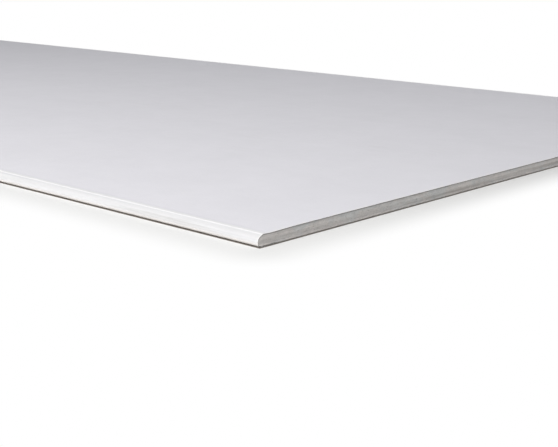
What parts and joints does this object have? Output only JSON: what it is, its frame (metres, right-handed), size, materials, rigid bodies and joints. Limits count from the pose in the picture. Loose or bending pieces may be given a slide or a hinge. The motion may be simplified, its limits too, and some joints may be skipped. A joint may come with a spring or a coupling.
{
  "type": "drywall sheet",
  "caption": "Flat rectangular wallboard sheet: gypsum core in a white face liner that wraps the bevelled, tapered long edges, grey back liner, short ends cut square.",
  "frame": {"origin": "middle of the back, on the plane that the sheet rests on", "axes": "+X along the length, +Y across the width, +Z out of the face"},
  "size_m": [2.5, 1.2, 0.0125],
  "materials": {
    "gypsum": "matte",
    "face_paper": "matte",
    "back_paper": "matte"
  },
  "bodies": {
    "root": {"gypsum_core": "gypsum", "face_liner": "face_paper", "back_liner": "back_paper"}
  },
  "joints": []
}
